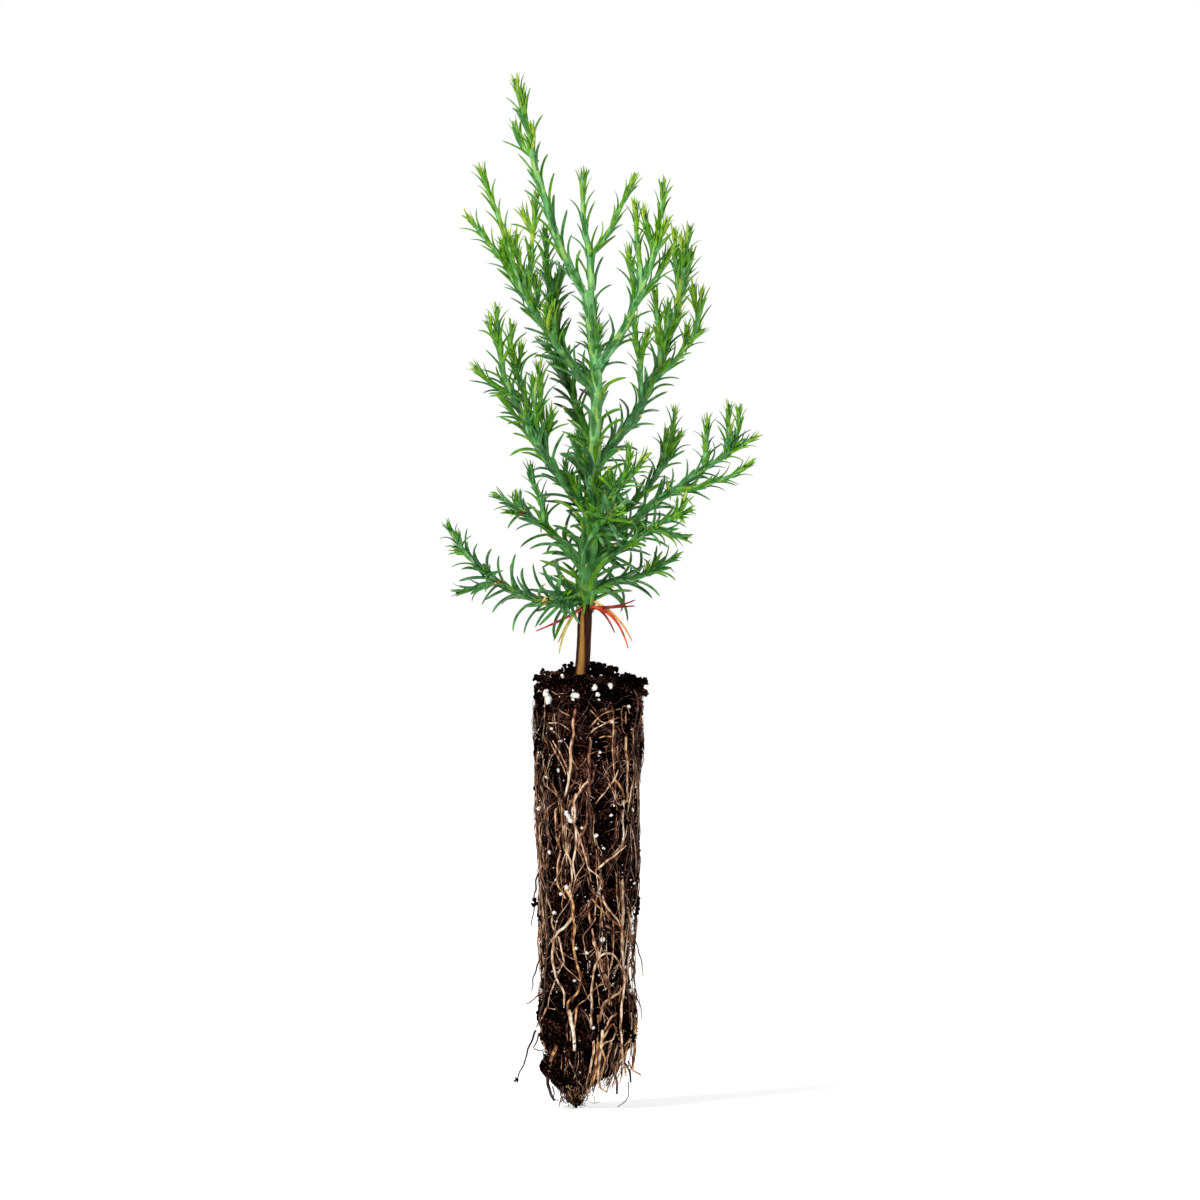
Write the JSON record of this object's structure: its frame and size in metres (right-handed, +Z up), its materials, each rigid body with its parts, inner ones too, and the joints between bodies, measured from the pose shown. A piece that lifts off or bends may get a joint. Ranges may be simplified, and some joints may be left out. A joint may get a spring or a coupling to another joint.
{
  "type": "giant sequoia seedling on its root plug",
  "caption": "Young giant sequoia with a forked top and upswept leafy boughs, lifted from its tray with its whole root plug, standing upright on the plug's flat underside.",
  "frame": {"origin": "middle of the root plug's flat underside", "axes": "+Z up the trunk, +X to the plant's right in the front view, +Y to its back"},
  "size_m": [0.1005, 0.0687, 0.3124],
  "materials": {
    "root_plug": "rough, moist peat bound by tan roots",
    "bark": "smooth young bark, dark maroon with a golden foot",
    "green_wood": "green stem clothed in leaf bases, satin",
    "leaf_sheath": "satin green leaf bases and long needles",
    "foliage": "satin awl-shaped leaves, yellow-green at the tips"
  },
  "bodies": {
    "root": {"root_plug": "root_plug", "trunk": "bark", "right_upper_bough": "green_wood", "right_middle_bough": "green_wood", "right_long_bough": "green_wood", "right_back_bough": "green_wood", "right_front_bough": "green_wood", "right_low_bough": "green_wood", "right_lowest_bough": "green_wood", "left_upper_bough": "green_wood", "left_back_bough": "green_wood", "left_middle_bough": "green_wood", "left_low_bough": "green_wood", "left_lowest_bough": "green_wood", "front_bough": "green_wood", "front_lowest_bough": "green_wood", "back_upper_bough": "green_wood", "back_middle_bough": "green_wood", "back_low_bough": "green_wood", "sheath_low": "leaf_sheath", "sheath_middle": "leaf_sheath", "sheath_upper": "leaf_sheath", "leader": "foliage", "second_top": "foliage", "right_upper_foliage": "foliage", "right_middle_foliage": "foliage", "right_long_foliage": "foliage", "right_back_foliage": "foliage", "right_front_foliage": "foliage", "right_low_foliage": "foliage", "right_lowest_foliage": "foliage", "left_upper_foliage": "foliage", "left_back_foliage": "foliage", "left_middle_foliage": "foliage", "left_low_foliage": "foliage", "left_lowest_foliage": "foliage", "front_foliage": "foliage", "front_lowest_foliage": "foliage", "back_upper_foliage": "foliage", "back_middle_foliage": "foliage", "back_low_foliage": "foliage"}
  },
  "joints": []
}
